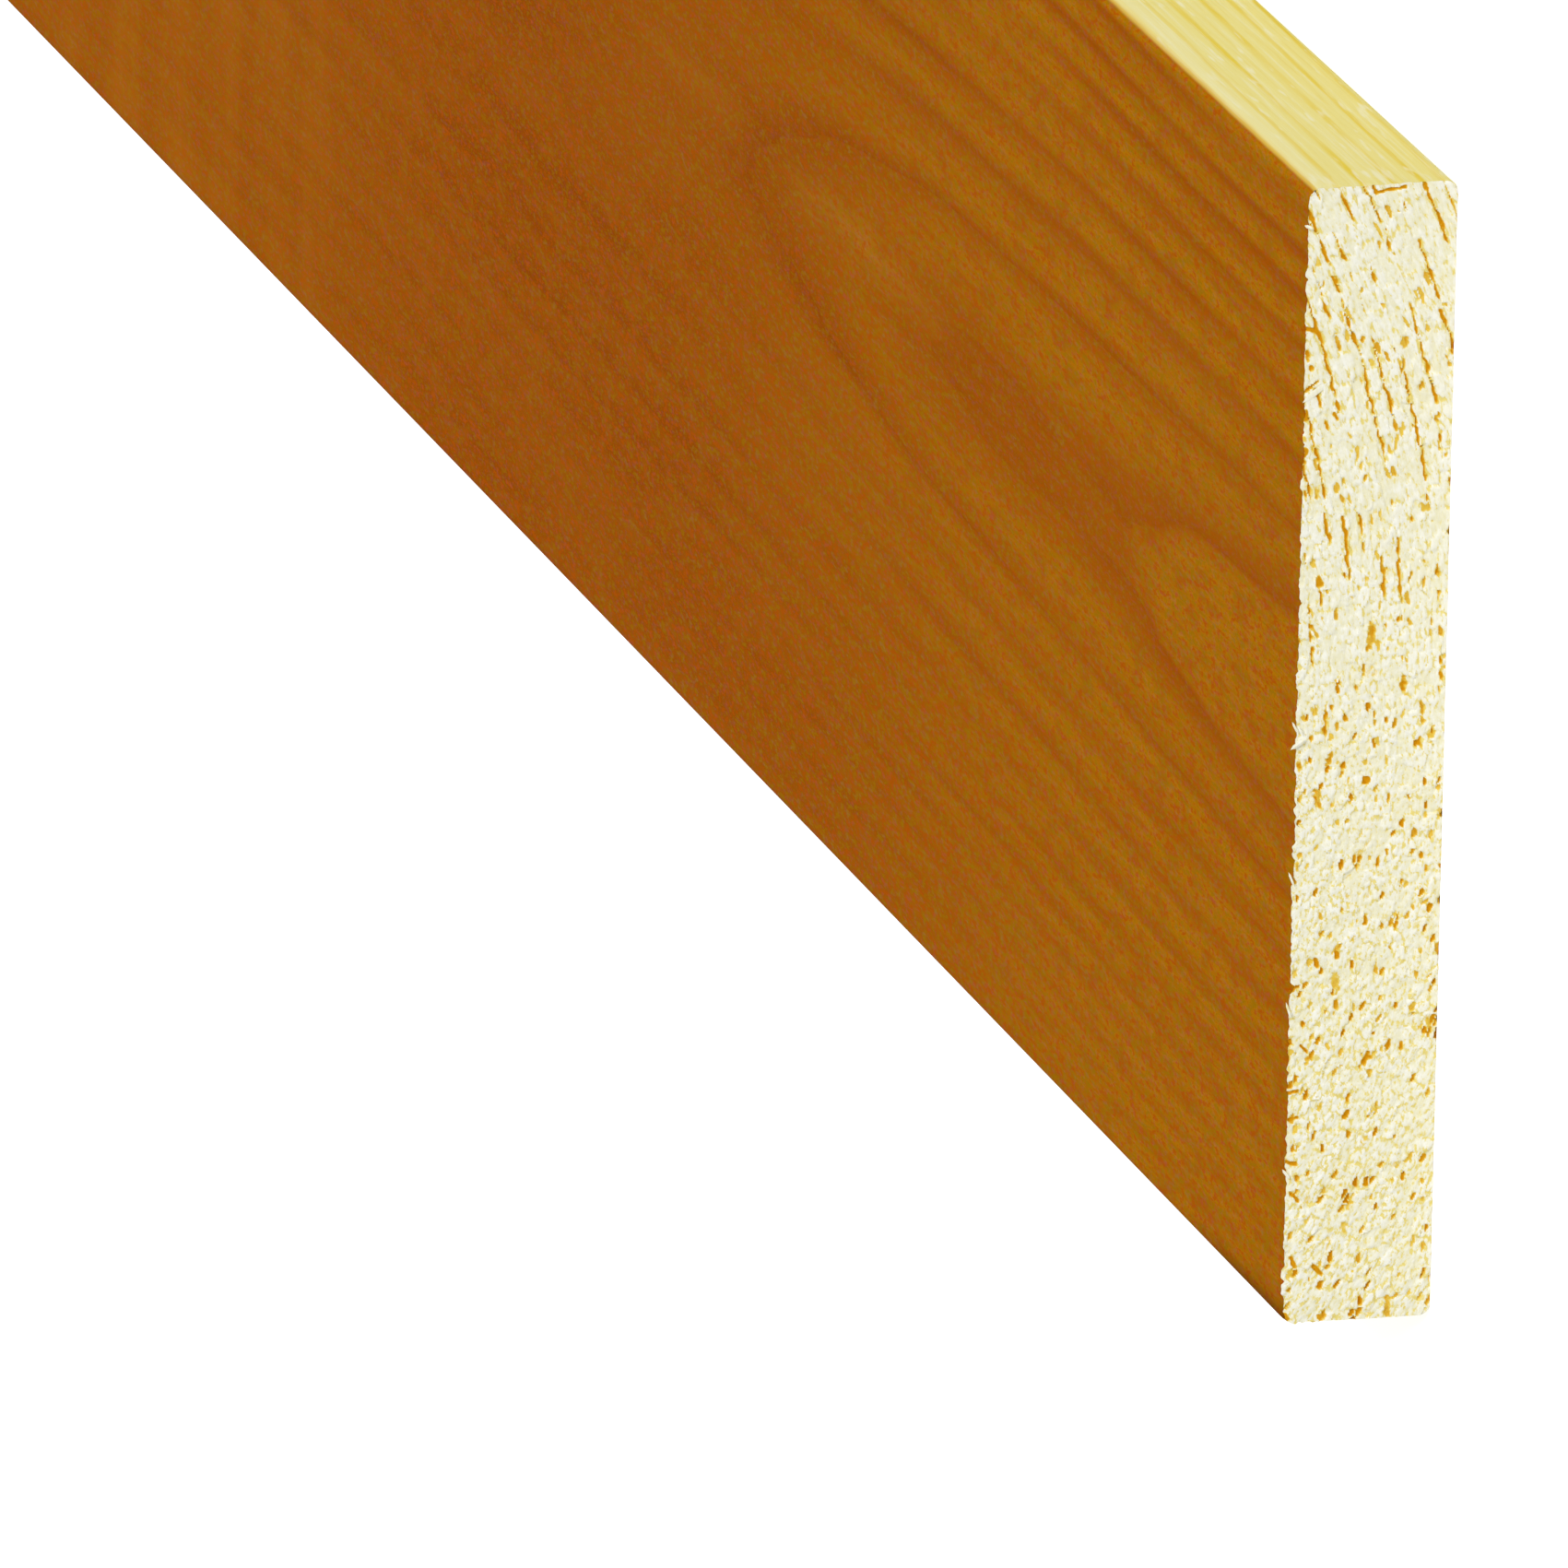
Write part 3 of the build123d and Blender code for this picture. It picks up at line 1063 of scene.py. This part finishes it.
def sawn_wood():
    """The rough-sawn ends: torn pale fibres, partly painted highlight, with painted golden shade in their
    gaps, cracks and holes.
    """
    nodes = Nodes(bpy.data.materials.new("sawn_end_grain"))
    grain = {"X": nodes.value("radius"), "Y": nodes.value("count")}
    place = nodes.add("ShaderNodeCombineXYZ", grain).outputs[0]
    threads = nodes.noise(*THREAD_NOISE, place=place)
    clouds = nodes.noise(*END_CLOUD_NOISE, place=place)
    # White on the fibres: partly their own tone, partly painted highlight.
    shade = nodes.math("MULTIPLY_ADD", nodes.value("fibre"), FIBRE_WHITE_AND_HIGHLIGHT, threads)
    cream = nodes.mix(nodes.stretch(shade, *WHITE_AND_HIGHLIGHT_THREADS), srgb(END_CREAM), srgb(END_WHITE_AND_HIGHLIGHT))
    cream = nodes.mix(nodes.stretch(clouds, *CREAM_CLOUDS), cream, srgb(END_CLOUD))
    # Yellow dashes along the fibres, and painted shade in the gaps between flakes.
    between = nodes.math("SUBTRACT", 1.0, threads)
    dashes_and_shade = nodes.math("MULTIPLY_ADD", nodes.value("gap"), GAP_SHADE, between)
    dashes_and_shade = nodes.math("ADD", dashes_and_shade, nodes.stretch(nodes.place("Y"), *LOWER_DASHES_AND_SHADE))
    cream = nodes.mix(nodes.stretch(dashes_and_shade, *DASHES_AND_SHADE), cream, srgb(END_DASH_AND_SHADE))
    # Painted shade in the holes, cracks and notches.
    thin = nodes.math("SUBTRACT", 0.5, threads)
    ragged = nodes.math("MULTIPLY_ADD", thin, RAGGED_HOLES, nodes.value("open"))
    painted_hole_shade = nodes.mix(nodes.stretch(ragged, *AMBER_HOLE_SHADE), srgb(HOLE_RIM_SHADE), srgb(HOLE_AMBER_SHADE))
    colour = nodes.mix(nodes.stretch(ragged, *OPEN_HOLE_SHADE), cream, painted_hole_shade)
    return nodes.finish(Base_Color=colour, Normal=nodes.bump(threads, SAWN_BUMP), **SAWN_SHEEN)


def seen_directly(nodes):
    """1 for what the camera, mirrors and glass see, and 0 for what only lights the scene."""
    light = nodes.add("ShaderNodeLightPath", {})
    seen = nodes.math("MAXIMUM", light.outputs["Is Camera Ray"], light.outputs["Is Glossy Ray"])
    return nodes.math("MAXIMUM", seen, light.outputs["Is Transmission Ray"])


def floor_paint():
    """A pale floor that shows white where no shadow falls. Only what the camera and mirrors see is
    lifted."""
    nodes = Nodes(bpy.data.materials.new("floor"))
    lift = nodes.math("MULTIPLY", seen_directly(nodes), FLOOR_LIFT)
    grey = (FLOOR_COLOUR, FLOOR_COLOUR, FLOOR_COLOUR, 1.0)
    return nodes.finish(Base_Color=grey, Roughness=1.0, Specular_IOR_Level=0.0,
                        Emission_Color=WHITE, Emission_Strength=lift)


# Stage

def make_floor():
    """A wide floor just under the board."""
    half = FLOOR_SIZE / 2
    data = bpy.data.meshes.new("floor")
    corners = [(x * half, y * half, -FLOOR_GAP) for x, y in ((-1, -1), (1, -1), (1, 1), (-1, 1))]
    data.from_pydata(corners, [], [(0, 1, 2, 3)])
    data.materials.append(floor_paint())
    floor = bpy.data.objects.new("floor", data)
    bpy.context.collection.objects.link(floor)
    return floor


def make_sun():
    """One soft sun, from beside the camera, so that the shadow falls behind the board."""
    data = bpy.data.lights.new("sun", "SUN")
    data.energy = SUN_LEVEL * math.pi
    data.angle = math.radians(SUN_ANGLE)
    sun = bpy.data.objects.new("sun", data)
    sun.rotation_euler = SUN_DIRECTION.to_track_quat("Z", "Y").to_euler()
    bpy.context.collection.objects.link(sun)


def make_sky():
    """An even white sky, dimmer as a light than it looks to the camera and in mirrors."""
    nodes = Nodes(bpy.data.worlds.new("sky"))
    level = nodes.math("MAXIMUM", seen_directly(nodes), SKY_LEVEL)
    bpy.context.scene.world = nodes.finish("Background", Color=WHITE, Strength=level)


def make_camera():
    """The photograph's view."""
    data = bpy.data.cameras.new("camera")
    data.sensor_width = SENSOR_WIDTH
    data.lens = FOCAL_PIXELS * SENSOR_WIDTH / PHOTO_PIXELS
    data.clip_end = FLOOR_SIZE
    back = CAMERA_DIRECTION.normalized()
    right = PICTURE_UP.cross(back).normalized()
    up = back.cross(right)
    camera = bpy.data.objects.new("camera", data)
    turn = Matrix((right, up, back)).transposed().to_4x4()
    camera.matrix_world = Matrix.Translation((AIM + back * CAMERA_DISTANCE) / METRE) @ turn
    bpy.context.collection.objects.link(camera)
    bpy.context.scene.camera = camera


board = make_object("planed_board", board_mesh(), [planed_wood(), sawn_wood()])
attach(board, "root")
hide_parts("board")

floor = make_floor()
make_sun()
make_sky()
make_camera()
bpy.context.scene.view_settings.view_transform = "Standard"
